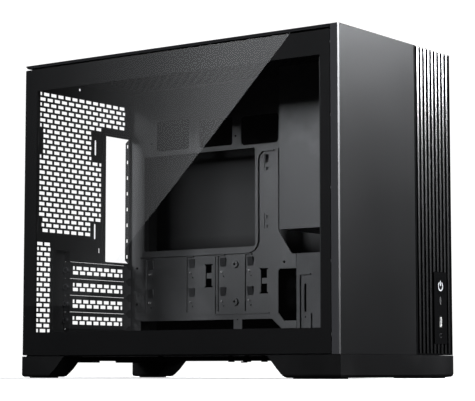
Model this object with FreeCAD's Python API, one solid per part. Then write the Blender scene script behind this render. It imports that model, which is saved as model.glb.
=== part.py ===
import FreeCAD, Part
import os

# Compact tower case for a small desktop computer, empty, with a glass side.
# Millimetres. +Z up, front towards -Y, glass side towards -X.
# Everything is laid out about the middle of the case's own length, then
# shifted along Y by DY so that the whole object's box is centred on the origin.

os.makedirs("parts", exist_ok=True)
V = FreeCAD.Vector

# ---------------------------------------------------------------- dimensions
HW = 117.8            # half the width over the side panels
YF = -222.4           # front face
YR = 222.4            # rear edge of side panels and top cover
ZT = 370.5            # top of the case
DY = -3.0             # shift that centres the box (the screw pocket sticks out behind)
T = 1.0               # sheet steel

PAD = 1.2             # how far the rubber pads stand out under the feet
FLAT = 0.6            # the plain part of the front lies this far behind the rib crests
FOOT_IN = 85.0        # inner side of the rear feet

YP = -211.5           # rear edge of the front panel's returns
ZG0, ZG1 = 25.8, 365.7    # side panels, bottom and top edge
GLASS_T = 4.0
XL = -112.5           # outer plane of the chassis, glass side
XRR = 113.5           # outer plane of the chassis, far side
YB = 219.4            # inner face of the rear wall
ZF = 25.0             # floor sheet, underside
ZC = 361.0            # top sheet, underside
YFF = -207.0          # front wall of the chassis

XT = 77.0             # board tray, face towards the glass
PITCH = 20.32         # card slot pitch
SLOT_Z = [130.4, 110.08, 89.76, 69.44]
IO = (27.2, 73.0, 143.9, 302.6)           # rear connector cut-out; its far flange leaves 45 x 158.7
POCKET = 8.0          # depth of the screw pocket behind the rear wall
COL_A, COL_B, COL_C, COL_D = 209.2, 186.34, 54.26, -18.13   # board screw columns
ROW_1, ROW_2, ROW_3 = 295.0, 137.5, 91.78                   # board screw rows
R_BOARD = 1.6

CAGE = (20.0, 108.0, -205.0, -51.0, 171.0)  # power supply cage: X, X, Y, Y, bottom Z

RIB_P = 8.1           # front rib pitch
RIB_0 = 42.6          # first groove, centre
PADX0, PADX1, PADZ0, PADZ1 = 76.0, 104.5, 38.3, 119.0       # port plate
PX = 90.5             # ports' centre line
CLIP_Z = (62.0, 132.0, 225.0, 328.0)  # front cover clips


# ------------------------------------------------------------------- helpers
def box(x0, x1, y0, y1, z0, z1):
    return Part.makeBox(x1 - x0, y1 - y0, z1 - z0, V(x0, y0, z0))


def p3(ax, c, u, v):
    if ax == "X":
        return V(c, u, v)
    if ax == "Y":
        return V(u, c, v)
    return V(u, v, c)


def direction(ax):
    return {"X": V(1, 0, 0), "Y": V(0, 1, 0), "Z": V(0, 0, 1)}[ax]


def rod(ax, c0, c1, u, v, r):
    return Part.makeCylinder(r, c1 - c0, p3(ax, c0, u, v), direction(ax))


def tube(ax, c0, c1, u, v, r, ri):
    return rod(ax, c0, c1, u, v, r).cut(rod(ax, c0 - 1, c1 + 1, u, v, ri))


def outline(ax, c, s):
    """One closed wire in the plane ax = c, from a short description."""
    k = s[0]
    if k == "c":
        return Part.Wire([Part.makeCircle(s[3], p3(ax, c, s[1], s[2]), direction(ax))])
    if k == "p":
        pts = [p3(ax, c, u, v) for u, v in s[1]]
        return Part.makePolygon(pts + [pts[0]])
    u0, u1, v0, v1 = s[1:5]
    if k == "r":
        pts = [p3(ax, c, u, v) for u, v in ((u0, v0), (u1, v0), (u1, v1), (u0, v1))]
        return Part.makePolygon(pts + [pts[0]])
    r = min(s[5], (u1 - u0) / 2 - 0.001, (v1 - v0) / 2 - 0.001)
    h = r * (1 - 0.70710678)
    q = lambda u, v: p3(ax, c, u, v)
    e = [Part.makeLine(q(u0 + r, v0), q(u1 - r, v0)),
         Part.Arc(q(u1 - r, v0), q(u1 - h, v0 + h), q(u1, v0 + r)).toShape(),
         Part.makeLine(q(u1, v0 + r), q(u1, v1 - r)),
         Part.Arc(q(u1, v1 - r), q(u1 - h, v1 - h), q(u1 - r, v1)).toShape(),
         Part.makeLine(q(u1 - r, v1), q(u0 + r, v1)),
         Part.Arc(q(u0 + r, v1), q(u0 + h, v1 - h), q(u0, v1 - r)).toShape(),
         Part.makeLine(q(u0, v1 - r), q(u0, v0 + r)),
         Part.Arc(q(u0, v0 + r), q(u0 + h, v0 + h), q(u0 + r, v0)).toShape()]
    return Part.Wire(e)


def plate(ax, c0, c1, outer, holes=()):
    """Flat sheet between ax = c0 and c1, cut through by the holes."""
    w = [outline(ax, c0, outer)] + [outline(ax, c0, h) for h in holes]
    f = Part.makeFace(w, "Part::FaceMakerBullseye") if len(w) > 1 else Part.Face(w[0])
    return f.extrude(direction(ax) * (c1 - c0))


def bricks(u0, u1, v0, v1, start, pu, w, pv, h, u_lo=None, u_hi=None, odd=0, least=2.6):
    """Brick-shaped vent holes in running bond; u_lo and u_hi give each row's limits."""
    out = []
    v, k = v1 - h, 0
    while v >= v0 - 0.01:
        lo = u_lo(v + h / 2) if u_lo else u0
        hi = u_hi(v + h / 2) if u_hi else u1
        u = start - (pu / 2 if (k + odd) % 2 else 0) - pu * 12
        while u < hi:
            a, b = max(u, lo), min(u + w, hi)
            if b - a >= least:
                out.append(("r", a, b, v, v + h))
            u += pu
        v -= pv
        k += 1
    return out


def fuse(first, *rest):
    return first.multiFuse(list(rest)).removeSplitter() if rest else first


def stud(ax, base, s, u, v, r0, h0, r1, ball, rb):
    """Ball stud turned about its axis: flat base, neck and ball, standing out from base in direction s."""
    q = (rb * rb - r1 * r1) ** 0.5
    at = {"X": lambda a, r: V(a, u + r, v), "Z": lambda a, r: V(u + r, v, a)}[ax]
    pts = [at(base, 0), at(base, r0), at(base + s * h0, r0), at(base + s * h0, r1), at(ball - s * q, r1)]
    e = [Part.makeLine(a, b) for a, b in zip(pts, pts[1:])]
    e += [Part.Arc(pts[-1], at(ball, rb), at(ball + s * rb, 0)).toShape(), Part.makeLine(at(ball + s * rb, 0), pts[0])]
    return Part.Face(Part.Wire(e)).revolve(at(0, 0), direction(ax), 360)


def save(name, *solids):
    s = solids[0] if len(solids) == 1 else Part.makeCompound(list(solids))
    s = s.copy()
    s.translate(V(0, DY, 0))
    s.exportStep("parts/%s.step" % name)


# ================================================================ rear wall
def vent_hi(z):
    if z > 312.0:
        return 64.6
    if 268.0 < z < 303.0:
        return 0.0
    return 19.0 if z > 193.0 else -1.0


def vent_lo(z):
    if 268.0 < z < 297.0:
        return -89.0
    return -94.6 if z > 193.0 else -90.0


holes = bricks(-95, 65, 173.6, 343.05, -88.4, 12.85, 10.2, 6.34, 4.12, vent_lo, vent_hi)
holes += bricks(-98, -73, 53.3, 161.65, -97.6, 12.85, 10.5, 6.1, 4.0)
for fx in (-98.5, 7.0):                       # 120 mm fan: upright slots, 105 mm apart
    for fz in (180.5, 285.5):
        holes.append(("rr", fx - 1.75, fx + 1.75, fz - 9.7, fz + 9.7, 1.75))
holes += [("r", IO[0], IO[1], IO[2], IO[3]),
          ("r", -38.4, 64.5, 59.7, 140.8),                 # card slots, one window
          ("r", -64.0, -40.0, 53.5, 153.5),                # mouth of the screw pocket
          ("rr", 14.2, 16.4, 153.7, 160.5, 1.1),
          ("c", -23.2, 354.7, 1.7),
          ("rr", 86.0, 106.0, 56.3, 83.7, 0.3),            # mains inlet
          ("c", 96.0, 50.0, 1.75), ("c", 96.0, 90.0, 1.75)]
rear = plate("Y", YB, YB + T, ("r", XL, XRR, ZF + T, ZC + T), holes)
rear_add = [
    plate("X", XL, XL + T, ("r", 206.2, YB, ZF + T, ZC), [("c", 212.0, 45.0, 4.6), ("c", 212.0, 346.5, 4.6)]),
    plate("X", XRR - T, XRR, ("r", 206.2, YB, ZF + T, ZC), [("c", 212.0, 45.0, 4.6), ("c", 212.0, 346.5, 4.6)]),
    # screw pocket: a shallow tub that stands out behind, its -X side slanted; its +X wall is the screw shelf
    box(-56.6, -39.0, YB + POCKET, YB + POCKET + 1.0, 52.5, 154.5),
    plate("Z", 52.5, 154.5, ("p", [(-65.2, YB + T), (-64.0, YB + T), (-56.6, YB + POCKET), (-56.6, YB + POCKET + 1.0),
                                   (-57.6, YB + POCKET + 1.0)])),
    plate("X", -40.0, -39.0, ("r", YB + T, YB + POCKET, 52.5, 154.5),
          [("r", 225.2, 226.5, z - 0.9, z + 0.9) for z in (140.5, 120.3, 99.9, 79.6, 59.3)]
          + [("c", 223.2, z, 1.75) for z in SLOT_Z]),
] + [plate("Z", z, z + 1.0, ("p", [(-64.0, YB + T), (-40.0, YB + T), (-40.0, YB + POCKET), (-56.6, YB + POCKET)])) for z in (52.5, 153.5)] + [
    # flange along the far side of the connector cut-out, folded to the rear, with a row of slots
    plate("X", 72.2, 73.0, ("p", [(YB, 143.9), (YB + T, 143.9), (225.4, 148.0), (225.4, 298.4), (YB + T, 302.6), (YB, 302.6)]),
          [("r", 221.2, 223.6, z - 2.2, z + 2.2) for z in (294.0, 273.8, 253.6, 233.4, 213.2, 193.0, 172.8, 152.6)]),
    # beads: round the cut-out and beside the lower vents
    box(20.2, 21.4, YB - 1.6, YB, 141.0, 305.4), box(20.2, 72.0, YB - 1.6, YB, 305.4, 306.6),
    box(-70.9, -69.7, YB - 1.6, YB, 56.0, 152.0),
]
save("rear_wall", fuse(rear, *rear_add))

# ---------------------------------------------------------- card slot covers
for i, zc in enumerate(SLOT_Z):
    h = [("r", -34.0, -30.1, zc + 0.7, zc + 5.05), ("r", 56.3, 60.2, zc - 5.05, zc - 0.7)]
    for k in range(7):
        h.append(("r", -27.6 + 12.9 * k, -17.4 + 12.9 * k, zc + 0.8, zc + 4.95))
        h.append(("r", -34.0 + 12.9 * k, -23.8 + 12.9 * k, zc - 4.95, zc - 0.8))
    blade = plate("Y", YB - 0.9, YB, ("p", [(-40.9, zc - 9.95), (66.0, zc - 9.95), (72.0, zc - 5.0), (76.4, zc - 5.0),
                                            (76.4, zc + 5.0), (72.0, zc + 5.0), (66.0, zc + 9.95), (-40.9, zc + 9.95)]), h)
    tab = plate("X", -40.9, -40.0, ("p", [(YB - 2.3, zc - 9.95), (226.9, zc - 9.95), (226.9, zc + 9.95), (YB - 2.3, zc + 9.95)]),
                [("c", 223.2, zc, 2.2)])
    save("slot_cover_%d" % (i + 1), fuse(blade, tab))
scr = []
for zc in SLOT_Z:
    s = fuse(rod("X", -43.4, -40.9, 223.2, zc, 3.4), rod("X", -40.9, -36.0, 223.2, zc, 1.6))
    s = s.cut(box(-43.5, -42.4, 223.2 - 2.3, 223.2 + 2.3, zc - 0.45, zc + 0.45))
    s = s.cut(box(-43.5, -42.4, 222.75, 223.65, zc - 2.3, zc + 2.3))
    scr.append(s)
save("slot_screws", *scr)

# ------------------------------------------------------------- mains inlet
inl = fuse(plate("Y", YB + T, YB + 4.0, ("rr", 84.0, 108.0, 45.0, 95.0, 5.0),
                 [("c", 96.0, 50.0, 1.75), ("c", 96.0, 90.0, 1.75)]),
           box(86.3, 105.7, 200.0, YB + T, 56.6, 83.4))
inl = inl.cut(plate("Y", 206.0, 230.0, ("p", [(88.0, 58.4), (101.0, 58.4), (104.2, 61.6), (104.2, 78.4), (101.0, 81.6), (88.0, 81.6)])))
pins = [box(95.0, 97.0, 206.0, 219.0, z - 2.0, z + 2.0) for z in (63.0, 77.0)] + [box(99.4, 101.4, 206.0, 219.0, 68.0, 72.0)]
save("power_inlet", inl)
save("inlet_contacts", *pins)
save("inlet_screws", *[rod("Y", YB - 3.0, YB + 4.0, 96.0, z, 1.6).fuse(rod("Y", YB + 4.0, YB + 5.6, 96.0, z, 2.9)) for z in (50.0, 90.0)])

# ================================================================ board tray
tray_out = ("p", [(YB, 26.0), (YB, ZC), (-50.0, ZC), (-50.0, 278.0), (-14.0, 278.0), (-10.0, 274.5), (-9.5, 270.0),
                  (-9.5, 176.0), (-29.0, 147.0), (-35.0, 147.0), (-35.0, 26.0), (-14.5, 26.0),
                  (-14.5, 58.0), (0.0, 70.3), (44.2, 70.3), (44.2, 26.0), (56.9, 26.0), (56.9, 70.3), (202.9, 70.3),
                  (202.9, 26.0)])


def h_tie(yc, z0, z1):
    """Cable tie anchor: a wide opening with serifs, crossed by a short bridge from its front side."""
    zm = (z0 + z1) / 2
    return ("p", [(yc + 6.2, z1), (yc - 6.2, z1), (yc - 6.2, z1 - 1.7), (yc - 4.6, z1 - 1.7), (yc - 4.6, zm + 3.4),
                  (yc + 3.0, zm + 3.4), (yc + 3.0, zm - 3.4), (yc - 4.6, zm - 3.4),
                  (yc - 4.6, z0 + 1.7), (yc - 6.2, z0 + 1.7), (yc - 6.2, z0), (yc + 6.2, z0), (yc + 6.2, z0 + 1.7),
                  (yc + 4.6, z0 + 1.7), (yc + 4.6, z1 - 1.7), (yc + 6.2, z1 - 1.7)])


tray_holes = [
    ("rr", 126.2, 177.7, 284.4, 323.2, 4.5), ("rr", 58.8, 110.0, 284.2, 319.0, 3.0), ("rr", -10.2, 45.6, 282.2, 318.2, 5.0),
    ("rr", 24.7, 197.5, 158.2, 278.6, 3.0),
    h_tie(94.9, 110.3, 139.0), h_tie(11.7, 100.6, 131.2),
    ("p", [(9.3, 268.9), (4.3, 268.9), (4.3, 260.2), (6.0, 258.6), (9.3, 258.6)]), ("r", 4.6, 8.4, 249.4, 253.6), ("r", 10.1, 10.9, 249.4, 268.8),
    ("r", 4.9, 8.1, 190.8, 195.2), ("r", 4.9, 7.2, 179.4, 183.4), ("r", 10.2, 11.0, 178.8, 197.2),
]
for y, z in ((COL_A, ROW_2), (COL_A, ROW_3), (COL_B, ROW_1), (COL_C, ROW_1), (COL_D, ROW_2), (COL_D, ROW_1)):
    tray_holes.append(("c", y, z, R_BOARD))
tray_holes.append(("c", 51.0, 70.0, 1.0))
HOOKS = [187.5, 122.1, 73.9, 32.9]      # drive hook columns, at their pins
HOOK_Z = (128.8, 93.0)
for yc in HOOKS:
    for z0 in HOOK_Z:
        tray_holes.append(("c", yc - 2.2, z0 - 5.7, 1.0))
tray = plate("X", XT, XT + T, tray_out, tray_holes)
# low opening beside the board, open towards the plate in front
tray = tray.cut(plate("X", XT - 1.0, XT + 2.0, ("p", [(-9.3, 126.8), (-11.4, 129.6), (-36.0, 129.6), (-36.0, 67.6), (-17.8, 67.6), (-9.3, 77.0)])))
add = []
for yc in HOOKS:
    # raised strip beside each column, and above each pin a louvre that opens upwards
    add.append(box(XT - 1.7, XT, yc + 5.9, yc + 7.1, 80.5, 149.6))
    add.append(box(XT - 1.7, XT, yc - 4.0, yc + 5.9, 148.4, 149.6))
    for z0 in HOOK_Z:
        add.append(plate("Y", yc - 5.6, yc + 2.6, ("p", [(XT, z0 + 6.0), (XT, z0 + 17.0), (XT - 2.6, z0 + 17.0)])))
# raised pad under the two front columns
add += [box(XT - 1.4, XT, 84.2, 85.4, 77.6, 148.0), box(XT - 1.4, XT, 3.5, 84.2, 76.6, 77.8)]
# rim of the raised plateau round the big opening
add.append(plate("X", XT - 2.2, XT, ("p", [(203.5, 150.2), (33.0, 150.2), (25.0, 153.0), (20.6, 158.0), (18.6, 164.0), (18.6, 262.5),
                                           (17.0, 268.5), (12.5, 272.4), (-4.0, 272.4), (-4.0, 273.8), (13.2, 273.8), (18.3, 269.3),
                                           (20.0, 262.8), (20.0, 164.4), (21.8, 158.8), (25.6, 154.4), (33.2, 151.6), (203.5, 151.6)])))
# folded edges: up the rear wall, along the roof and the floor
add += [box(XT + T, XT + 8.0, YB - 1.0, YB, 100.0, ZC), box(XT + T, XT + 8.0, -50.0, YB - 1.0, ZC - 1.0, ZC),
        box(XT + T, XT + 8.0, 203.0, YB - 1.0, 26.0, 27.0), box(XT + T, XT + 8.0, 44.3, 56.8, 26.0, 27.0)]
add += [rod("X", XT - 2.4, XT, COL_C, z, 4.6) for z in (ROW_2, ROW_3)]
tray = fuse(tray, *add).cut(Part.makeCompound([rod("X", XT - 5.0, XT + 5.0, COL_C, z, R_BOARD) for z in (ROW_2, ROW_3)]))
save("board_tray", tray)
save("tray_pins", *[rod("X", XT - 2.4, XT, yc, z0, 1.15) for yc in HOOKS for z0 in HOOK_Z])

# plate in front of the tray, below the power supply
front_tray = plate("X", XT, XT + T, ("r", YFF + T, -35.6, 26.0, 147.0),
                   [("rr", -49.6, -46.6, 77.3, 110.8, 1.2), ("c", -48.1, 71.4, 1.1), ("rr", -150.0, -95.0, 50.0, 120.0, 6.0)])
front_tray = fuse(front_tray, box(XT - 2.0, XT, -41.6, -40.4, 26.0, 122.6), box(XT - 2.0, XT, -56.2, -41.6, 121.4, 122.6),
                  box(XT - 2.0, XT, -57.2, -56.0, 26.0, 76.0),
                  box(XT + T, XT + 10.0, YFF + T, YFF + 2.0, 26.0, 147.0), box(XT + T, XT + 10.0, YFF + 2.0, -36.0, 26.0, 27.0))
save("cable_shelf", front_tray)

# ================================================================ floor
fh = bricks(-72, 72, -112, 190, -72.0, 12.85, 11.0, 6.34, 4.85)
floor = plate("Z", ZF, ZF + T, ("r", XL, XRR, YFF, YB + T), fh)
floor = fuse(floor, box(XL, XL + T, -194.0, 206.1, ZF + T, 48.0), box(XRR - T, XRR, -194.0, 206.1, ZF + T, 48.0))
save("floor_panel", floor)

# ================================================================ roof sheet
th = bricks(-78, 62, -172, 190, -78.0, 12.85, 11.0, 6.34, 4.85)
th += [("c", x, y, 3.4) for x in (-98.0, 98.0) for y in (-196.0, 205.0)]
roof = plate("Z", ZC, ZC + T, ("r", XL, XRR, YFF, YB), th)
roof = fuse(roof, box(XL, XL + T, -194.0, 206.1, 343.5, ZC), box(XRR - T, XRR, -194.0, 206.1, 343.5, ZC))
save("roof_panel", roof)

# ================================================================ front wall
fh = bricks(-96, 8, 60, 160, -96.0, 12.85, 11.0, 6.34, 4.85) + bricks(-96, 8, 190, 340, -96.0, 12.85, 11.0, 6.34, 4.85)
fh += [("rr", 56.0, 100.0, 34.0, 118.0, 6.0), ("rr", 56.0, 100.0, 180.0, 330.0, 6.0)]
fh += [("c", x, z, 3.4) for x in (-104.0, 107.5) for z in CLIP_Z]
front = plate("Y", YFF, YFF + T, ("r", XL, XRR, ZF + T, ZC), fh)
front = fuse(front, plate("X", XL, XL + T, ("r", YFF + T, -194.1, ZF + T, ZC), [("c", -201.0, 45.0, 4.6), ("c", -201.0, 346.5, 4.6)]),
             plate("X", XRR - T, XRR, ("r", YFF + T, -194.1, ZF + T, ZC), [("c", -201.0, 45.0, 4.6), ("c", -201.0, 346.5, 4.6)]))
save("front_wall", front)

# ================================================================ power supply cage
cx0, cx1, cy0, cy1, cz = CAGE
shelf_c = (cy0 + 2.0, cx0 + 1.0)        # corner of the 150 x 86 supply face
cage = fuse(plate("X", cx0, cx0 + T, ("r", cy0, cy1, cz, ZC)),
            box(cx0 + T, cx0 + 12.0, cy0, cy0 + T, cz + T, ZC),
            box(cx0 + T, cx0 + 12.0, cy0 + T, cy1, ZC - T, ZC))
save("psu_cage", cage)
mh = [("rr", cx0 + 16.0, cx0 + 74.0, cy0 + 22.0, cy0 + 118.0, 4.0)]
for a, b in ((6.0, 80.0), (144.0, 80.0), (6.0, 16.0), (120.0, 6.0)):
    mh.append(("c", cx0 + 1.0 + b, cy0 + 2.0 + a, 1.9))
mount = fuse(plate("Z", cz, cz + T, ("r", cx0 + T, cx1, cy0, cy1), mh),
             box(cx1 - 1.0, cx1, cy0, cy1, cz + T, cz + 14.0), box(cx0 + T, cx1, cy0 - 1.0, cy0, cz, cz + 14.0))
save("psu_shelf", mount)

# ================================================================ feet
side_f = [(YF + 3.4, PAD), (YF + 1.1, PAD + 0.8), (YF, PAD + 3.0), (YF, ZF + 0.5), (YFF - 0.3, ZF + 0.5), (YFF - 0.3, ZF), (-129.5, ZF), (-132.0, 22.4), (-143.0, 10.0),
          (-149.3, PAD + 2.4), (-151.4, PAD + 0.7), (-154.0, PAD)]
ff = plate("X", -HW, HW, ("p", side_f)).cut(box(-HW + 30, HW - 30, -205.0, -120.0, 0.0, 18.0))
ff = ff.common(plate("Y", YF - 1.0, -120.0, ("rr", -HW, HW, PAD, 40.0, 4.0)))
save("front_foot", ff)
side_r = [(YR - 2.4, PAD), (YR - 0.7, PAD + 0.7), (YR, PAD + 2.4), (YR, ZF), (157.0, ZF), (159.5, 22.2), (171.5, 10.0),
          (179.8, PAD + 2.2), (181.6, PAD + 0.7), (184.0, PAD)]
rf = plate("X", -HW, -FOOT_IN, ("p", side_r)).common(plate("Y", 150.0, YR + 1.0, ("rr", -HW, -FOOT_IN, PAD, 40.0, 3.0)))
save("rear_foot_left", rf)
rf = plate("X", FOOT_IN, HW, ("p", side_r)).common(plate("Y", 150.0, YR + 1.0, ("rr", FOOT_IN, HW, PAD, 40.0, 3.0)))
save("rear_foot_right", rf)


def padshape(x0, x1, y0, y1):
    return plate("Z", 0.0, PAD, ("rr", x0, x1, y0, y1, 4.0))


save("front_foot_pads", padshape(-HW + 5.0, -HW + 27.0, -216.0, -158.0), padshape(HW - 27.0, HW - 5.0, -216.0, -158.0))
save("rear_foot_pads", padshape(-HW + 5.0, -FOOT_IN - 5.0, 188.0, 217.0), padshape(FOOT_IN + 5.0, HW - 5.0, 188.0, 217.0))

# ================================================================ front panel
g = []                                  # grooves between the ribs
for k in range(10):
    c = RIB_0 + RIB_P * k
    w = 2.05 if k < 9 else 1.2
    g.append((c - w, c + w))
g0 = g[0][0]
fp = [plate("Z", 25.8, ZT, ("p", [(-HW, YP), (-HW, YF + FLAT + 1.3), (-HW + 1.3, YF + FLAT), (g0 - 4.05, YF + FLAT),
                                  (g0 - 3.4, YF + 0.2), (g0 - 2.5, YF), (g0 - 1.2, YF), (g0 - 0.4, YF + 0.4), (g0, YF + 1.2),
                                  (g0, YP - 2.6), (g0 - 2.0, YP - 2.6), (g0 - 2.0, YF + FLAT + 2.0), (-HW + 3.2, YF + FLAT + 2.0),
                                  (-HW + 2.0, YF + FLAT + 3.2), (-HW + 2.0, YP)])),
      box(HW - 0.9, HW, YF + 0.6, YP, 25.8, ZT),
      box(-HW + 2.0, g0 - 2.0, YF + FLAT + 2.0, YP, ZT - 2.0, ZT),
      box(g0 - 2.0, HW - 0.9, YP - 2.6, YP, ZT - 2.0, ZT),
      box(-HW + 2.0, g0 - 2.0, YF + FLAT + 2.0, YP, 25.8, 27.6),
      box(g0 - 2.0, HW - 0.9, YF + 1.3, YP, 25.8, 27.6),
      # back wall of the ribbed part, open behind the port plate
      plate("Y", YP - 2.6, YP - 1.0, ("r", g0 - 2.0, HW - 0.9, 27.6, ZT - 2.0), [("r", PX - 10.0, PX + 10.0, 42.0, 115.0)])]


def rib(x0, x1, z0, z1):
    """One upright rib: sloped towards the glass side, rounded on the far side."""
    return plate("Z", z0, z1, ("p", [(x0, YP - 2.6), (x0, YF + 1.7), (x0 + 0.25, YF + 1.25), (x0 + 1.4, YF + 0.1), (x0 + 1.8, YF),
                                     (x1 - 1.6, YF), (x1 - 0.9, YF + 0.2), (x1 - 0.35, YF + 0.7), (x1, YF + 1.5), (x1, YP - 2.6)]))


for k in range(9):
    x0, x1 = g[k][1], g[k + 1][0]
    if x1 > PADX0 - 0.1 and x0 < PADX1 + 0.1:
        for z0, z1 in ((27.6, PADZ0 - 0.3), (PADZ1 + 0.3, ZT)):
            fp.append(rib(x0, x1, z0, z1))
    else:
        fp.append(rib(x0, x1, 27.6, ZT))
fp = [fuse(*fp).cut(plate("X", -HW - 1.0, HW + 1.0, ("p", [(YF - 1.0, ZT - 2.2), (YF + 2.2, ZT + 1.0), (YF - 1.0, ZT + 1.0)])))]
save("front_panel", fp[0])
clips = []
for x in (-104.0, 107.5):
    for z in CLIP_Z:
        clips.append(fuse(rod("Y", YP - 1.0 if x > 0 else YF + FLAT + 2.0, -204.0, x, z, 2.6), rod("Y", -205.9, -203.0, x, z, 3.1)))
save("front_panel_clips", *clips)
catches = [box(-HW + 2.0, -110.8, YP - 1.7, YP - 0.1, z - 1.6, z + 1.6) for z in (351.0, 273.9, 198.1, 121.8, 46.2)]
save("front_panel_catches", *catches)

# port plate, button, ports
pp = plate("Y", YF, YF + 2.0, ("rr", PADX0, PADX1, PADZ0, PADZ1, 1.0),
           [("rr", PX - 9.0, PX + 9.0, 94.5, 112.5, 4.0), ("rr", PX - 1.75, PX + 1.75, 82.3, 91.7, 1.7),
            ("r", PX - 3.0, PX + 3.0, 56.6, 69.9), ("c", PX, 47.8, 3.1)])
pp = fuse(pp, plate("Y", YF + 2.0, YP - 2.7, ("r", PADX0 + 1.2, PADX1 - 1.2, PADZ0 + 1.2, PADZ1 - 1.2),
                    [("r", PADX0 + 2.4, PADX1 - 2.4, PADZ0 + 2.4, PADZ1 - 2.4)]))
save("port_plate", pp)
button = fuse(plate("Y", YF - 0.0, YF + 2.6, ("rr", PX - 8.7, PX + 8.7, 94.8, 112.2, 3.8)),
              rod("Y", YF + 2.6, YF + 5.6, PX, 103.5, 3.0))
ring = Part.makeCylinder(5.4, 0.8, V(PX, YF, 102.9), V(0, 1, 0)).cut(Part.makeCylinder(3.9, 2.0, V(PX, YF - 0.5, 102.9), V(0, 1, 0)))
ring = ring.cut(box(PX - 2.3, PX + 2.3, YF - 1, YF + 2, 103.2, 109.5))
bar = box(PX - 0.75, PX + 0.75, YF, YF + 0.8, 103.4, 109.2)
save("power_button", button.cut(Part.makeCompound([ring, bar])))
save("button_light_guide", ring, bar)
save("button_switch", fuse(box(PX - 3.5, PX + 3.5, YP - 3.4, YP - 0.2, 100.0, 107.0), rod("Y", YP - 4.0, YP - 3.4, PX, 103.5, 1.7)))
save("port_board", plate("Y", YP - 0.2, YP + 1.4, ("r", PX - 9.5, PX + 9.5, 42.5, 114.5)))


def shell(x0, x1, z0, z1, r, wall, y0, y1, tx0, tx1, tz0, tz1):
    outer = plate("Y", y0, y1, ("rr", x0, x1, z0, z1, r))
    inner = plate("Y", y0 - 1.0, y1 - 1.5, ("rr", x0 + wall, x1 - wall, z0 + wall, z1 - wall, max(r - wall, 0.1)))
    tongue = box(tx0, tx1, y0 + 1.2, y1 - 1.5, tz0, tz1)
    return fuse(outer.cut(inner), tongue)


save("usb_c_port", shell(PX - 1.6, PX + 1.6, 82.5, 91.5, 1.55, 0.3, YF + 0.3, YP - 0.2, PX - 0.35, PX + 0.35, 84.0, 90.0))
save("usb_a_port", shell(PX - 2.85, PX + 2.85, 56.75, 69.75, 0.4, 0.3, YF + 0.3, YP - 0.2, PX + 0.4, PX + 2.0, 57.9, 68.6))
jack = tube("Y", YF + 0.3, YP - 0.2, PX, 47.8, 2.95, 1.8)
save("audio_jack", jack)

# ================================================================ side panels
glass = plate("X", -HW, -HW + GLASS_T, ("rr", YP + 0.2, YR, ZG0, ZG1, 1.2))
save("glass_panel", glass)
sy = (-201.0, 212.0)
sz = (45.0, 346.5)
save("glass_studs", *[stud("X", -113.8, 1, y, z, 4.2, 0.8, 1.9, -109.0, 2.9) for y in sy for z in sz])
save("left_sockets", *[tube("X", -112.5, -105.5, y, z, 4.6, 3.3) for y in sy for z in sz])
rp = fuse(plate("X", HW - T, HW, ("rr", YP + 0.2, YR, ZG0, ZG1, 1.2)),
          box(HW - 3.4, HW - T, YP + 1.5, YR - 1.5, ZG0 + 1.0, ZG0 + 2.0), box(HW - 3.4, HW - T, YP + 1.5, YR - 1.5, ZG1 - 2.0, ZG1 - 1.0),
          box(HW - 3.4, HW - T, YP + 1.5, YP + 2.5, ZG0 + 2.0, ZG1 - 2.0), box(HW - 3.4, HW - T, YR - 2.5, YR - 1.5, ZG0 + 2.0, ZG1 - 2.0))
save("right_panel", rp)
save("right_studs", *[stud("X", HW - T, -1, y, z, 4.2, 2.2, 1.9, 110.2, 2.9) for y in sy for z in sz])
save("right_sockets", *[tube("X", 106.0, 113.5, y, z, 4.6, 3.3) for y in sy for z in sz])

# ================================================================ top cover
ch = bricks(-86, 86, -176, 192, -86.0, 12.85, 11.0, 6.34, 4.85)
cov = fuse(plate("Z", ZT - 1.2, ZT, ("rr", -HW, HW, YP + 0.2, YR, 1.5), ch),
           box(-HW + 0.8, -HW + 2.0, YP + 1.5, YR - 1.5, 367.5, ZT - 1.2), box(HW - 2.0, HW - 0.8, YP + 1.5, YR - 1.5, 367.5, ZT - 1.2),
           box(-HW + 2.0, HW - 2.0, YP + 1.5, YP + 2.7, 367.5, ZT - 1.2), box(-HW + 2.0, HW - 2.0, YR - 2.7, YR - 1.5, 367.5, ZT - 1.2))
save("top_cover", cov)
save("top_cover_studs", *[stud("Z", ZT - 1.2, -1, x, y, 5.0, 1.4, 1.9, 358.0, 2.9) for x in (-98.0, 98.0) for y in (-196.0, 205.0)])
# fringe that closes the gap between the cover and the roof along both long sides
save("top_rails", box(XL + 1.5, XL + 4.5, -205.0, 217.0, ZC + T, 366.6), box(XRR - 4.5, XRR - 1.5, -205.0, 217.0, ZC + T, 366.6))
save("top_filter_frame", plate("Z", ZT - 3.4, ZT - 1.2, ("rr", -92.0, 92.0, -186.0, 198.0, 4.0), [("r", -86.0, 86.0, -180.0, 4.0), ("r", -86.0, 86.0, 8.0, 192.0)]))
save("top_filter_mesh", plate("Z", ZT - 2.6, ZT - 2.1, ("r", -86.0, 86.0, -180.0, 4.0)),
     plate("Z", ZT - 2.6, ZT - 2.1, ("r", -86.0, 86.0, 8.0, 192.0)))

# ================================================================ floor filter
ff = plate("Z", 20.0, 24.4, ("rr", -80.0, 80.0, -122.0, 195.0, 3.0), [("r", -74.0, 74.0, -116.0, 34.0), ("r", -74.0, 74.0, 40.0, 184.0)])
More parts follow.
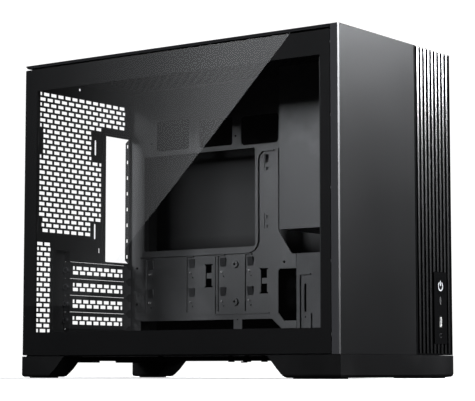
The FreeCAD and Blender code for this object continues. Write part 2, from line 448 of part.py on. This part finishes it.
# deeper rim at the rear, open in the middle for a finger
ff = fuse(ff, box(-80.0, -16.0, 190.0, 192.0, 18.0, 20.0), box(16.0, 80.0, 190.0, 192.0, 18.0, 20.0))
save("floor_filter_frame", ff)
save("floor_filter_mesh", plate("Z", 22.6, 23.1, ("r", -74.0, 74.0, -116.0, 34.0)), plate("Z", 22.6, 23.1, ("r", -74.0, 74.0, 40.0, 184.0)))
runners = []
for s in (-1, 1):
    for y0, y1 in ((40.5, 45.0), (-57.0, -53.6), (-79.5, -75.5), (-101.5, -98.0)):
        a, b = sorted((s * 80.4, s * 83.0))
        c, d = sorted((s * 76.0, s * 83.0))
        runners.append(fuse(box(a, b, y0, y1, 18.0, ZF), box(c, d, y0, y1, 18.0, 19.6)))
save("floor_filter_runners", *runners)

# ================================================================ fasteners
riv = []
for z in (115.0, 190.0, 265.0, 340.0):
    riv.append(rod("Y", YB + T, YB + 1.9, 108.5, z, 2.2))
    riv.append(rod("Y", YB + T, YB + 1.9, -107.0, z - 1.0, 2.2))
save("rear_rivets", *riv)
save("psu_shelf_screws", *[rod("X", cx1, cx1 + 1.8, y, cz + 8.0, 2.9) for y in (-190.0, -66.0)])
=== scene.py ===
import math

import bmesh
import bpy
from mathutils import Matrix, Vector


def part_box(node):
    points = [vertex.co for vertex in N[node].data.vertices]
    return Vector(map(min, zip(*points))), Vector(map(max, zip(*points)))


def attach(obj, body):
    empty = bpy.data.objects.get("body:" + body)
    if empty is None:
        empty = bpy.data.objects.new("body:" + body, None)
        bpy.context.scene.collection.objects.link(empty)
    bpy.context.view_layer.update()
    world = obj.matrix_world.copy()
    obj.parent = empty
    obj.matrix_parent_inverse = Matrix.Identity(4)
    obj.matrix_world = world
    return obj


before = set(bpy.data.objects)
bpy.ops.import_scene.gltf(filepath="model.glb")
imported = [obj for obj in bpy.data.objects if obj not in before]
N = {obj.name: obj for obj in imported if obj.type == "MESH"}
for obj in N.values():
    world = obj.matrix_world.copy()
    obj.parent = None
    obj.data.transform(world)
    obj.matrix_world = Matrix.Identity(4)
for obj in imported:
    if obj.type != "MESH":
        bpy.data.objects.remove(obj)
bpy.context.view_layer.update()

DY = -0.003                      # the model's shift along Y, as in the CAD
scene = bpy.context.scene
scene.view_settings.view_transform = "Standard"
scene.view_settings.look = "None"

# ------------------------------------------------------------------- camera
YAW, PITCH = math.radians(53.807), math.radians(5.685)
CAM = Vector((-1.58405, -1.16444 + DY, 0.01018))
FPX, CX, CY = 1694.53, 237.5, 200.5      # focal length and centre in pixels of a 475 x 401 frame
cam_data = bpy.data.cameras.new("camera")
cam_data.sensor_fit = "HORIZONTAL"
cam_data.sensor_width = 36.0
cam_data.lens = FPX / 475.0 * 36.0
cam_data.clip_start, cam_data.clip_end = 0.02, 60.0
cam = bpy.data.objects.new("camera", cam_data)
cam.location = CAM
cam.rotation_euler = (math.pi / 2 + PITCH, 0.0, -YAW)
scene.collection.objects.link(cam)
scene.camera = cam


def ray(px, py):
    """Direction through a pixel of the 475 x 401 frame."""
    f = Vector((math.sin(YAW) * math.cos(PITCH), math.cos(YAW) * math.cos(PITCH), math.sin(PITCH)))
    r = Vector((math.cos(YAW), -math.sin(YAW), 0.0))
    u = r.cross(f)
    return (f + r * ((px - CX) / FPX) - u * ((py - CY) / FPX)).normalized()


# ---------------------------------------------------------------- materials
def tree(name):
    m = bpy.data.materials.new(name)
    m.use_nodes = True
    nt = m.node_tree
    nt.nodes.clear()
    out = nt.nodes.new("ShaderNodeOutputMaterial")
    return m, nt, out


def node(nt, kind, **kw):
    n = nt.nodes.new(kind)
    for k, v in kw.items():
        if k in n.inputs:
            n.inputs[k].default_value = v
        else:
            setattr(n, k, v)
    return n


def ramp(nt, fac, stops):
    r = nt.nodes.new("ShaderNodeValToRGB")
    e = r.color_ramp.elements
    while len(e) < len(stops):
        e.new(0.5)
    for el, (p, c) in zip(e, stops):
        el.position = p
        el.color = (c[0], c[1], c[2], 1.0) if isinstance(c, (tuple, list)) else (c, c, c, 1.0)
    nt.links.new(fac, r.inputs["Fac"])
    return r.outputs["Color"]


def coated(name, base, rough, metal=0.0, grain=900.0, bump=0.12, vary=0.25, rough_vary=0.06, spec=0.5, coat=0.0,
           coat_rough=0.3, edge=0.0, streak=None, dust=0.0, inner=False, side=False, ior=1.5):
    """Painted, moulded or metal surface: fine grain, slow tone change, a little wear where edges turn."""
    m, nt, out = tree(name)
    L = nt.links.new
    tc = node(nt, "ShaderNodeTexCoord")
    p = node(nt, "ShaderNodeBsdfPrincipled")
    p.inputs["Metallic"].default_value = metal
    p.inputs["Specular IOR Level"].default_value = spec
    p.inputs["IOR"].default_value = ior
    if coat:
        p.inputs["Coat Weight"].default_value = coat
        p.inputs["Coat Roughness"].default_value = coat_rough
    slow = node(nt, "ShaderNodeTexNoise", Scale=6.0, Detail=5.0, Roughness=0.6)
    L(tc.outputs["Object"], slow.inputs["Vector"])
    fine = node(nt, "ShaderNodeTexNoise", Scale=grain, Detail=3.0, Roughness=0.55)
    L(tc.outputs["Object"], fine.inputs["Vector"])
    lo = [c * (1 - vary) for c in base]
    hi = [min(1.0, c * (1 + vary)) for c in base]
    tone = ramp(nt, slow.outputs["Fac"], [(0.32, lo), (0.68, hi)])
    speck = ramp(nt, fine.outputs["Fac"], [(0.3, 0.86), (0.72, 1.12 if max(base) < 0.8 else 1.0)])
    mul = node(nt, "ShaderNodeMix", data_type="RGBA", blend_type="MULTIPLY")
    mul.inputs[0].default_value = 1.0
    L(tone, mul.inputs[6]); L(speck, mul.inputs[7])
    col = mul.outputs[2]
    if edge:
        geo = node(nt, "ShaderNodeNewGeometry")
        e = ramp(nt, geo.outputs["Pointiness"], [(0.53, 0.0), (0.6, 1.0)])
        brk = ramp(nt, slow.outputs["Fac"], [(0.45, 0.0), (0.62, 1.0)])
        both = node(nt, "ShaderNodeMath", operation="MULTIPLY")
        L(e, both.inputs[0]); L(brk, both.inputs[1])
        both2 = node(nt, "ShaderNodeMath", operation="MULTIPLY")
        L(both.outputs[0], both2.inputs[0]); both2.inputs[1].default_value = edge
        mx = node(nt, "ShaderNodeMix", data_type="RGBA")
        L(both2.outputs[0], mx.inputs[0]); L(col, mx.inputs[6])
        mx.inputs[7].default_value = (min(1, base[0] * 3 + 0.05), min(1, base[1] * 3 + 0.05), min(1, base[2] * 3 + 0.05), 1)
        col = mx.outputs[2]
    if dust:
        geo2 = node(nt, "ShaderNodeNewGeometry")
        sep = node(nt, "ShaderNodeSeparateXYZ")
        L(geo2.outputs["Normal"], sep.inputs[0])
        up = node(nt, "ShaderNodeMapRange")
        L(sep.outputs["Z"], up.inputs["Value"])
        up.inputs["From Min"].default_value, up.inputs["From Max"].default_value = 0.6, 1.0
        up.inputs["To Max"].default_value = dust
        dn = node(nt, "ShaderNodeTexNoise", Scale=60.0, Detail=6.0)
        L(tc.outputs["Object"], dn.inputs["Vector"])
        dm = node(nt, "ShaderNodeMath", operation="MULTIPLY")
        L(up.outputs[0], dm.inputs[0]); L(dn.outputs["Fac"], dm.inputs[1])
        mx = node(nt, "ShaderNodeMix", data_type="RGBA")
        L(dm.outputs[0], mx.inputs[0]); L(col, mx.inputs[6]); mx.inputs[7].default_value = (0.3, 0.29, 0.28, 1)
        col = mx.outputs[2]
    if inner:
        # the sheet's inner face has a thin dark primer, painted lighter in a band of height where the light through
        # the tray's cut-out falls (painted light), with painted shade above and below that band
        geo3 = node(nt, "ShaderNodeNewGeometry")
        sep3 = node(nt, "ShaderNodeSeparateXYZ")
        L(geo3.outputs["True Normal"], sep3.inputs[0])
        inn = node(nt, "ShaderNodeMath", operation="LESS_THAN")
        L(sep3.outputs["X"], inn.inputs[0]); inn.inputs[1].default_value = -0.5
        spk = ramp(nt, fine.outputs["Fac"], [(0.3, 0.8), (0.7, 1.2)])
        at3 = node(nt, "ShaderNodeSeparateXYZ")
        L(tc.outputs["Object"], at3.inputs[0])
        hz = node(nt, "ShaderNodeMapRange")
        L(at3.outputs["Z"], hz.inputs["Value"])
        hz.inputs["From Min"].default_value, hz.inputs["From Max"].default_value = 0.0, 0.37
        # painted light: a lighter band at mid height, with painted shade above and below it
        painted_light_band = ramp(nt, hz.outputs[0], [(0.0, 0.002), (0.40, 0.003), (0.48, 0.075), (0.70, 0.060), (0.78, 0.008), (1.0, 0.004)])
        pm = node(nt, "ShaderNodeMix", data_type="RGBA", blend_type="MULTIPLY")
        pm.inputs[0].default_value = 1.0
        L(painted_light_band, pm.inputs[6]); L(spk, pm.inputs[7])
        primer_and_painted_light = pm.outputs[2]
        mx = node(nt, "ShaderNodeMix", data_type="RGBA")
        L(inn.outputs[0], mx.inputs[0]); L(col, mx.inputs[6]); L(primer_and_painted_light, mx.inputs[7])
        col = mx.outputs[2]
        sp = node(nt, "ShaderNodeMapRange")
        L(inn.outputs[0], sp.inputs["Value"])
        sp.inputs["To Min"].default_value, sp.inputs["To Max"].default_value = spec, 0.02
        L(sp.outputs[0], p.inputs["Specular IOR Level"])
    if side:
        # the faces that look to -X: the narrow return beside the glass is painted a lighter black than the front
        # (painted light), and the ribs' flanks near black (painted shade); both are made matt, without specular
        geo4 = node(nt, "ShaderNodeNewGeometry")
        sep4 = node(nt, "ShaderNodeSeparateXYZ")
        L(geo4.outputs["True Normal"], sep4.inputs[0])
        flank = node(nt, "ShaderNodeMath", operation="LESS_THAN")
        L(sep4.outputs["X"], flank.inputs[0]); flank.inputs[1].default_value = -0.85
        at = node(nt, "ShaderNodeSeparateXYZ")
        L(tc.outputs["Object"], at.inputs[0])
        ribs = node(nt, "ShaderNodeMath", operation="GREATER_THAN")
        L(at.outputs["X"], ribs.inputs[0]); ribs.inputs[1].default_value = 0.0365
        painted_side_light_shade = node(nt, "ShaderNodeMix", data_type="RGBA")
        L(ribs.outputs[0], painted_side_light_shade.inputs[0])
        # painted light on the return beside the glass, painted shade on the rib flanks
        painted_side_light_shade.inputs[6].default_value = (0.062, 0.062, 0.066, 1)
        painted_side_light_shade.inputs[7].default_value = (0.0008, 0.0008, 0.0009, 1)
        mx = node(nt, "ShaderNodeMix", data_type="RGBA")
        L(flank.outputs[0], mx.inputs[0]); L(col, mx.inputs[6]); L(painted_side_light_shade.outputs[2], mx.inputs[7])
        col = mx.outputs[2]
        gl = node(nt, "ShaderNodeMapRange")
        L(ribs.outputs[0], gl.inputs["Value"])
        gl.inputs["To Min"].default_value, gl.inputs["To Max"].default_value = spec, 0.42
        keep = node(nt, "ShaderNodeMath", operation="SUBTRACT")
        keep.inputs[0].default_value = 1.0
        L(flank.outputs[0], keep.inputs[1])
        sp = node(nt, "ShaderNodeMath", operation="MULTIPLY")
        L(gl.outputs[0], sp.inputs[0]); L(keep.outputs[0], sp.inputs[1])
        L(sp.outputs[0], p.inputs["Specular IOR Level"])
    L(col, p.inputs["Base Color"])
    mr = node(nt, "ShaderNodeMapRange")
    src = slow
    if streak:
        mp = node(nt, "ShaderNodeMapping")
        mp.inputs["Scale"].default_value = streak
        L(tc.outputs["Object"], mp.inputs["Vector"])
        src = node(nt, "ShaderNodeTexNoise", Scale=1.0, Detail=4.0)
        L(mp.outputs["Vector"], src.inputs["Vector"])
    L(src.outputs["Fac"], mr.inputs["Value"])
    mr.inputs["From Min"].default_value, mr.inputs["From Max"].default_value = 0.3, 0.7
    mr.inputs["To Min"].default_value, mr.inputs["To Max"].default_value = max(0.02, rough - rough_vary), min(1.0, rough + rough_vary)
    if side:
        # the rib crests are smoother than the flat
        fine_r = node(nt, "ShaderNodeMapRange")
        L(ribs.outputs[0], fine_r.inputs["Value"])
        fine_r.inputs["To Min"].default_value, fine_r.inputs["To Max"].default_value = 1.0, 0.43
        rm = node(nt, "ShaderNodeMath", operation="MULTIPLY")
        L(mr.outputs[0], rm.inputs[0]); L(fine_r.outputs[0], rm.inputs[1])
        L(rm.outputs[0], p.inputs["Roughness"])
    else:
        L(mr.outputs[0], p.inputs["Roughness"])
    b = node(nt, "ShaderNodeBump", Strength=bump, Distance=0.0002)
    L((src if streak else fine).outputs["Fac"], b.inputs["Height"])
    L(b.outputs["Normal"], p.inputs["Normal"])
    L(p.outputs["BSDF"], out.inputs["Surface"])
    return m


M = {
    # powder coat inside and outside the steel chassis
    "steel": coated("satin_black_steel", (0.034, 0.034, 0.036), 0.42, grain=1400, bump=0.10, vary=0.10, spec=0.5, edge=0.25),
    "steel_tray": coated("satin_black_tray", (0.016, 0.016, 0.017), 0.38, grain=1400, bump=0.10, vary=0.08, spec=0.85, edge=0.3),
    # the roof's and front wall's black is darker than the chassis steel: painted shade for the dark top of the
    # interior
    "steel_top": coated("shaded_inner_steel", (0.009, 0.009, 0.0095), 0.5, grain=1400, bump=0.10, vary=0.10, spec=0.2, edge=0.15),
    # inner=True paints a band of light across the inner face by height, with painted shade above and below it
    "steel_far": coated("far_panel_black", (0.026, 0.026, 0.028), 0.36, grain=1600, bump=0.10, vary=0.10, spec=0.5, dust=0.03, inner=True),
    # the cage's black is lighter than the chassis steel: painted light for the light falling on its face through the
    # window
    "cage": coated("cage_black_painted_light", (0.060, 0.060, 0.062), 0.40, grain=1400, bump=0.10, vary=0.08, spec=0.55, edge=0.3),
    "rear": coated("rear_black", (0.012, 0.012, 0.0125), 0.44, grain=1400, bump=0.10, vary=0.10, spec=0.3, edge=0.25),
    "speck": coated("catch_tip", (0.16, 0.16, 0.165), 0.35, grain=1800, bump=0.10, vary=0.15, spec=0.5),
    "tongue": coated("white_tongue", (0.78, 0.78, 0.77), 0.35, grain=2200, bump=0.06, vary=0.04, spec=0.5),
    "steel_out": coated("satin_black_outside", (0.022, 0.022, 0.024), 0.55, grain=1600, bump=0.10, vary=0.10, spec=0.03, dust=0.02),
    # side=True paints the -X return lighter (painted light) and the rib flanks near black (painted shade)
    "front": coated("front_black", (0.0036, 0.0036, 0.0039), 0.31, grain=2200, bump=0.05, vary=0.08, rough_vary=0.02, spec=0.14, side=True, ior=2.0),
    "plastic": coated("moulded_black", (0.018, 0.018, 0.019), 0.50, grain=2600, bump=0.22, vary=0.12, spec=0.12),
    "foot": coated("moulded_foot", (0.0036, 0.0036, 0.0038), 0.50, grain=2400, bump=0.18, vary=0.12, spec=0.05, edge=0.1),
    "rubber": coated("pad_rubber", (0.014, 0.014, 0.014), 0.75, grain=900, bump=0.35, vary=0.3, spec=0.3, dust=0.1),
    "screw": coated("black_oxide_screw", (0.05, 0.05, 0.052), 0.33, metal=0.7, grain=1200, bump=0.2, vary=0.3, edge=0.6),
    "stud": coated("plated_stud", (0.62, 0.61, 0.60), 0.24, metal=1.0, grain=1500, bump=0.12, vary=0.1, streak=(90, 90, 2500)),
    "contact": coated("plated_shell", (0.72, 0.71, 0.69), 0.25, metal=1.0, grain=1800, bump=0.10, vary=0.10, streak=(2500, 60, 60)),
    "jack": coated("jack_plastic", (0.02, 0.02, 0.021), 0.25, grain=2500, bump=0.1, vary=0.1, edge=0.2),
    "guide": coated("frosted_guide", (0.80, 0.82, 0.84), 0.45, grain=1800, bump=0.25, vary=0.03, spec=0.5),
}


def board_material():
    """Solder mask with faint tracks and pads."""
    m, nt, out = tree("solder_mask")
    L = nt.links.new
    tc = node(nt, "ShaderNodeTexCoord")
    p = node(nt, "ShaderNodeBsdfPrincipled")
    br = node(nt, "ShaderNodeTexBrick", Scale=420.0)
    br.inputs["Color1"].default_value = (0.004, 0.03, 0.016, 1)
    br.inputs["Color2"].default_value = (0.006, 0.045, 0.022, 1)
    br.inputs["Mortar"].default_value = (0.012, 0.09, 0.045, 1)
    mp = node(nt, "ShaderNodeMapping")
    mp.inputs["Rotation"].default_value = (math.pi / 2, 0, 0)
    L(tc.outputs["Object"], mp.inputs["Vector"]); L(mp.outputs["Vector"], br.inputs["Vector"])
    L(br.outputs["Color"], p.inputs["Base Color"])
    ns = node(nt, "ShaderNodeTexNoise", Scale=700.0, Detail=3.0)
    L(tc.outputs["Object"], ns.inputs["Vector"])
    mr = node(nt, "ShaderNodeMapRange")
    L(ns.outputs["Fac"], mr.inputs["Value"])
    mr.inputs["To Min"].default_value, mr.inputs["To Max"].default_value = 0.2, 0.4
    L(mr.outputs[0], p.inputs["Roughness"])
    b = node(nt, "ShaderNodeBump", Strength=0.3, Distance=0.0001)
    L(br.outputs["Fac"], b.inputs["Height"]); L(b.outputs["Normal"], p.inputs["Normal"])
    L(p.outputs["BSDF"], out.inputs["Surface"])
    return m


def mesh_material():
    """Woven dust filter cloth: crossed threads with open squares."""
    m, nt, out = tree("filter_weave")
    L = nt.links.new
    tc = node(nt, "ShaderNodeTexCoord")
    w = []
    for axis in ("X", "Y"):
        n = node(nt, "ShaderNodeTexWave", Scale=160.0, Distortion=0.15, wave_type="BANDS", bands_direction=axis)
        L(tc.outputs["Object"], n.inputs["Vector"])
        w.append(ramp(nt, n.outputs["Fac"], [(0.45, 0.0), (0.6, 1.0)]))
    mx = node(nt, "ShaderNodeMix", data_type="RGBA", blend_type="LIGHTEN")
    mx.inputs[0].default_value = 1.0
    L(w[0], mx.inputs[6]); L(w[1], mx.inputs[7])
    p = node(nt, "ShaderNodeBsdfPrincipled", Roughness=0.7)
    p.inputs["Specular IOR Level"].default_value = 0.05
    c = ramp(nt, mx.outputs[2], [(0.0, (0.002, 0.002, 0.002)), (1.0, (0.014, 0.014, 0.015))])
    L(c, p.inputs["Base Color"])
    b = node(nt, "ShaderNodeBump", Strength=0.6, Distance=0.0003)
    L(mx.outputs[2], b.inputs["Height"]); L(b.outputs["Normal"], p.inputs["Normal"])
    L(p.outputs["BSDF"], out.inputs["Surface"])
    return m


def glass_material():
    """Clear, slightly smoked sheet: what is behind shows through, and it mirrors by the angle it is seen at."""
    m, nt, out = tree("smoked_glass")
    L = nt.links.new
    tc = node(nt, "ShaderNodeTexCoord")
    ns = node(nt, "ShaderNodeTexNoise", Scale=9.0, Detail=3.0)
    L(tc.outputs["Object"], ns.inputs["Vector"])
    tint = ramp(nt, ns.outputs["Fac"], [(0.3, (0.955, 0.958, 0.96)), (0.7, (0.965, 0.968, 0.97))])
    tr = node(nt, "ShaderNodeBsdfTransparent")
    L(tint, tr.inputs["Color"])
    gl = node(nt, "ShaderNodeBsdfGlossy", Roughness=0.0)
    fr = node(nt, "ShaderNodeFresnel", IOR=1.5)
    geo = node(nt, "ShaderNodeNewGeometry")
    front = node(nt, "ShaderNodeMath", operation="SUBTRACT")
    front.inputs[0].default_value = 1.0
    L(geo.outputs["Backfacing"], front.inputs[1])
    only = node(nt, "ShaderNodeMath", operation="MULTIPLY")
    L(fr.outputs[0], only.inputs[0]); L(front.outputs[0], only.inputs[1])
    mx = node(nt, "ShaderNodeMixShader")
    L(only.outputs[0], mx.inputs[0]); L(tr.outputs[0], mx.inputs[1]); L(gl.outputs[0], mx.inputs[2])
    L(mx.outputs[0], out.inputs["Surface"])
    return m


def print_material():
    """Black ceramic print baked into the glass."""
    return coated("ceramic_print", (0.0028, 0.0028, 0.0031), 0.5, grain=3000, bump=0.05, vary=0.15, spec=0.06)


M["board"] = board_material()
M["mesh"] = mesh_material()
M["glass"] = glass_material()
M["print"] = print_material()


def give(obj, mat):
    obj.data.materials.clear()
    obj.data.materials.append(mat)


USE = {
    "steel": ["floor_panel", "psu_shelf", "slot_cover_1", "slot_cover_2", "slot_cover_3", "slot_cover_4", "cable_shelf"],
    "steel_top": ["roof_panel", "front_wall"],
    "rear": ["rear_wall"],
    "cage": ["psu_cage"],
    "steel_tray": ["board_tray"],
    "steel_out": ["top_cover"],
    "steel_far": ["right_panel"],
    "speck": ["front_panel_catches"],
    "front": ["front_panel", "port_plate", "power_button"],
    "plastic": ["left_sockets", "right_sockets", "top_rails", "front_panel_clips", "top_filter_frame",
                "floor_filter_frame", "floor_filter_runners", "power_inlet", "button_switch"],
    "foot": ["front_foot", "rear_foot_left", "rear_foot_right"],
    "rubber": ["front_foot_pads", "rear_foot_pads"],
    "screw": ["slot_screws", "inlet_screws", "rear_rivets", "psu_shelf_screws"],
    "stud": ["glass_studs", "right_studs", "top_cover_studs", "tray_pins"],
    "contact": ["inlet_contacts", "usb_c_port", "usb_a_port"],
    "jack": ["audio_jack"],
    "guide": ["button_light_guide"],
    "board": ["port_board"],
    "mesh": ["top_filter_mesh", "floor_filter_mesh"],
    "glass": ["glass_panel"],
}
for k, names in USE.items():
    for n in names:
        give(N[n], M[k])


def bevel(name, width, segs=2, angle=35):
    md = N[name].modifiers.new("edge", "BEVEL")
    md.width = width
    md.segments = segs
    md.limit_method = "ANGLE"
    md.angle_limit = math.radians(angle)
    md.harden_normals = True


for n, w in (("front_foot", 0.0012), ("rear_foot_left", 0.0012), ("rear_foot_right", 0.0012), ("power_button", 0.0004),
             ("port_plate", 0.0003), ("glass_panel", 0.0004), ("right_panel", 0.0003), ("psu_cage", 0.0003)):
    bevel(n, w)


# ------------------------------------------------------------ added pieces
def solid(name, build, mat, body, bev=0.0):
    me = bpy.data.meshes.new(name)
    bm = bmesh.new()
    build(bm)
    bmesh.ops.recalc_face_normals(bm, faces=bm.faces)
    bm.to_mesh(me)
    bm.free()
    o = bpy.data.objects.new(name, me)
    scene.collection.objects.link(o)
    me.materials.append(mat)
    if bev:
        md = o.modifiers.new("edge", "BEVEL")
        md.width, md.segments, md.limit_method = bev, 2, "ANGLE"
        md.angle_limit = math.radians(35)
    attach(o, body)
    return o


def block(bm, x0, x1, y0, y1, z0, z1):
    v = [bm.verts.new((x, y, z)) for x in (x0, x1) for y in (y0, y1) for z in (z0, z1)]
    for f in ((0, 1, 3, 2), (4, 6, 7, 5), (0, 4, 5, 1), (2, 3, 7, 6), (0, 2, 6, 4), (1, 5, 7, 3)):
        bm.faces.new([v[i] for i in f])


def rounded(y0, y1, z0, z1, r, n=5):
    pts = []
    for cy, cz, a in ((y1 - r, z1 - r, 0), (y0 + r, z1 - r, 90), (y0 + r, z0 + r, 180), (y1 - r, z0 + r, 270)):
        for i in range(n + 1):
            t = math.radians(a + 90 * i / n)
            pts.append((cy + r * math.cos(t), cz + r * math.sin(t)))
    return pts


def on_plane(px, py, x):
    """Where the ray through a pixel meets the plane at that X."""
    d = ray(px, py)
    return CAM + d * ((x - CAM.x) / d.x)


# black print just under the outer face of the glass, with the clear window in it
g0, g1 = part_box("glass_panel")
win = (-0.1986 + DY, 0.2029 + DY, 0.0530, 0.3390)


def build_print(bm):
    out = rounded(g0[1] + 0.0006, g1[1] - 0.0006, g0[2] + 0.0006, g1[2] - 0.0006, 0.0012)
    inn = rounded(win[0], win[1], win[2], win[3], 0.0008)
    rings = []
    for x in (-0.11774, -0.11760):
        rings.append(([bm.verts.new((x, y, z)) for y, z in out], [bm.verts.new((x, y, z)) for y, z in inn]))
    n = len(out)
    for i in range(n):
        j = (i + 1) % n
        (oa, ia), (ob, ib) = rings
        bm.faces.new((oa[i], oa[j], ia[j], ia[i]))
        bm.faces.new((ob[i], ib[i], ib[j], ob[j]))
        bm.faces.new((oa[i], ob[i], ob[j], oa[j]))
        bm.faces.new((ia[i], ia[j], ib[j], ib[i]))


solid("glass_print", build_print, M["print"], "glass_side")


# sleeves on the sockets' tongues
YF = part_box("front_panel")[0][1]
PX = 0.0905
solid("usb_a_tongue", lambda bm: block(bm, PX + 0.00028, PX + 0.00212, YF + 0.0006, YF + 0.0085, 0.0578, 0.0687), M["tongue"], "front_cover")
solid("usb_c_tongue", lambda bm: block(bm, PX - 0.00042, PX + 0.00042, YF + 0.0007, YF + 0.0070, 0.0839, 0.0901), M["speck"], "front_cover")


# tips of the side catches, seen in the seam between the front cover and the glass
for i, z in enumerate((0.3510, 0.2739, 0.1981, 0.1218, 0.0462)):
    solid("catch_tip_%d" % i, lambda bm, z=z: block(bm, -0.11777, -0.1166, -0.2120 + DY, -0.2111 + DY, z - 0.0013, z + 0.0013), M["speck"], "front_cover")


# --------------------------------------------------------------- the studio
def emission(name, strength, colour=(1, 1, 1)):
    m, nt, out = tree(name)
    e = node(nt, "ShaderNodeEmission")
    e.inputs["Color"].default_value = (*colour, 1)
    e.inputs["Strength"].default_value = strength
    nt.links.new(e.outputs[0], out.inputs["Surface"])
    return m


def area(name, loc, target, sx, sy, power, colour=(0.945, 0.965, 1.0)):
    d = bpy.data.lights.new(name, "AREA")
    d.shape = "RECTANGLE"
    d.size, d.size_y, d.energy, d.color = sx, sy, power, colour
    o = bpy.data.objects.new(name, d)
    o.location = loc
    o.rotation_euler = (Vector(target) - Vector(loc)).to_track_quat("-Z", "Y").to_euler()
    scene.collection.objects.link(o)
    return o


# soft box off the glass side: lights the tray and the cage's face through the window
l1 = area("side_box", (-3.0, 1.05, 1.24), (0.0, 0.0, 0.2), 1.0, 0.9, 80.0)
# high box off the front: brightens the front from the top down
l2 = area("front_box", (2.1, -2.2, 1.90), (0.0, -0.2, 0.35), 2.2, 1.4, 285.0)
# tall box in front of the corner: seen only as the gleam on the corner line and the ribs
l3 = area("corner_box", (-1.82, -2.82, 1.66), (0.0, -0.2, 0.3), 0.9, 1.5, 500.0)
l3.visible_diffuse = False

# world: white where the camera looks past everything, dim otherwise
w = bpy.data.worlds.new("studio")
scene.world = w
w.use_nodes = True
nt = w.node_tree
nt.nodes.clear()
wo = node(nt, "ShaderNodeOutputWorld")
dim = node(nt, "ShaderNodeBackground", Strength=1.0)
dim.inputs["Color"].default_value = (0.018, 0.018, 0.019, 1)
lit = node(nt, "ShaderNodeBackground", Strength=1.12)
lit.inputs["Color"].default_value = (1, 1, 1, 1)
lp = node(nt, "ShaderNodeLightPath")
mw = node(nt, "ShaderNodeMixShader")
nt.links.new(lp.outputs["Is Camera Ray"], mw.inputs[0])
nt.links.new(dim.outputs[0], mw.inputs[1])
nt.links.new(lit.outputs[0], mw.inputs[2])
nt.links.new(mw.outputs[0], wo.inputs["Surface"])


# floor: pale, long towards the camera
def build_floor():
    me = bpy.data.meshes.new("floor")
    bm = bmesh.new()
    c, s = math.cos(YAW), math.sin(YAW)
    pts = []
    for a, b in ((-3.2, -1.15), (1.5, -1.15), (1.5, 1.15), (-3.2, 1.15)):
        pts.append(bm.verts.new((s * a + c * b, c * a - s * b, 0.0)))
    bm.faces.new(pts)
    bmesh.ops.recalc_face_normals(bm, faces=bm.faces)
    bm.to_mesh(me)
    bm.free()
    o = bpy.data.objects.new("floor", me)
    scene.collection.objects.link(o)
    m, nt, out = tree("pale_floor")
    d = node(nt, "ShaderNodeBsdfDiffuse")
    d.inputs["Color"].default_value = (0.86, 0.86, 0.86, 1)
    e = node(nt, "ShaderNodeEmission", Strength=0.55)
    ad = node(nt, "ShaderNodeAddShader")
    nt.links.new(d.outputs[0], ad.inputs[0]); nt.links.new(e.outputs[0], ad.inputs[1])
    nt.links.new(ad.outputs[0], out.inputs["Surface"])
    me.materials.append(m)
    o.visible_glossy = False          # a plain base for the eye only: it throws no light back up
    o.visible_diffuse = False
    return o


floor = build_floor()


# card that the glass mirrors as one slanted bright field
def build_glare():
    XR = -0.1178                       # outer face of the glass
    XC = -2.9                          # the card
    xv = 2 * XR - XC
    pts = [(294.0, 28.0), (237.0, 100.0), (200.0, 152.0), (160.0, 203.0), (131.0, 241.0), (80.0, 306.0), (-30.0, 306.0), (-30.0, 10.0), (308.0, 10.0)]
    me = bpy.data.meshes.new("glare_card")
    bm = bmesh.new()
    vs = []
    for px, py in pts:
        d = ray(px, py)
        q = CAM + d * ((xv - CAM.x) / d.x)
        vs.append(bm.verts.new((XC, q.y, q.z)))
    f = bm.faces.new(vs)
    bmesh.ops.triangulate(bm, faces=[f])
    bm.to_mesh(me)
    bm.free()
    o = bpy.data.objects.new("glare_card", me)
    scene.collection.objects.link(o)
    m, nt, out = tree("glare_card")
    tc = node(nt, "ShaderNodeTexCoord")
    sep = node(nt, "ShaderNodeSeparateXYZ")
    nt.links.new(tc.outputs["Object"], sep.inputs[0])
    ya = (CAM + ray(285, 40) * ((xv - CAM.x) / ray(285, 40).x)).y
    yb = (CAM + ray(30, 80) * ((xv - CAM.x) / ray(30, 80).x)).y
    mr = node(nt, "ShaderNodeMapRange")
    nt.links.new(sep.outputs["Y"], mr.inputs["Value"])
    mr.inputs["From Min"].default_value, mr.inputs["From Max"].default_value = ya, yb
    c = ramp(nt, mr.outputs[0], [(0.0, 1.0), (0.18, 0.90), (0.25, 0.79), (0.37, 0.54), (0.49, 0.34), (0.61, 0.22), (0.73, 0.126), (0.84, 0.066), (1.0, 0.03)])
    e = node(nt, "ShaderNodeEmission", Strength=3.0)
    cool = node(nt, "ShaderNodeMix", data_type="RGBA", blend_type="MULTIPLY")
    cool.inputs[0].default_value = 1.0
    cool.inputs[7].default_value = (0.945, 0.965, 1.0, 1)
    nt.links.new(c, cool.inputs[6])
    nt.links.new(cool.outputs[2], e.inputs["Color"])
    nt.links.new(e.outputs[0], out.inputs["Surface"])
    me.materials.append(m)
    o.visible_camera = False
    o.visible_diffuse = False
    o.visible_shadow = False
    return o


glare = build_glare()
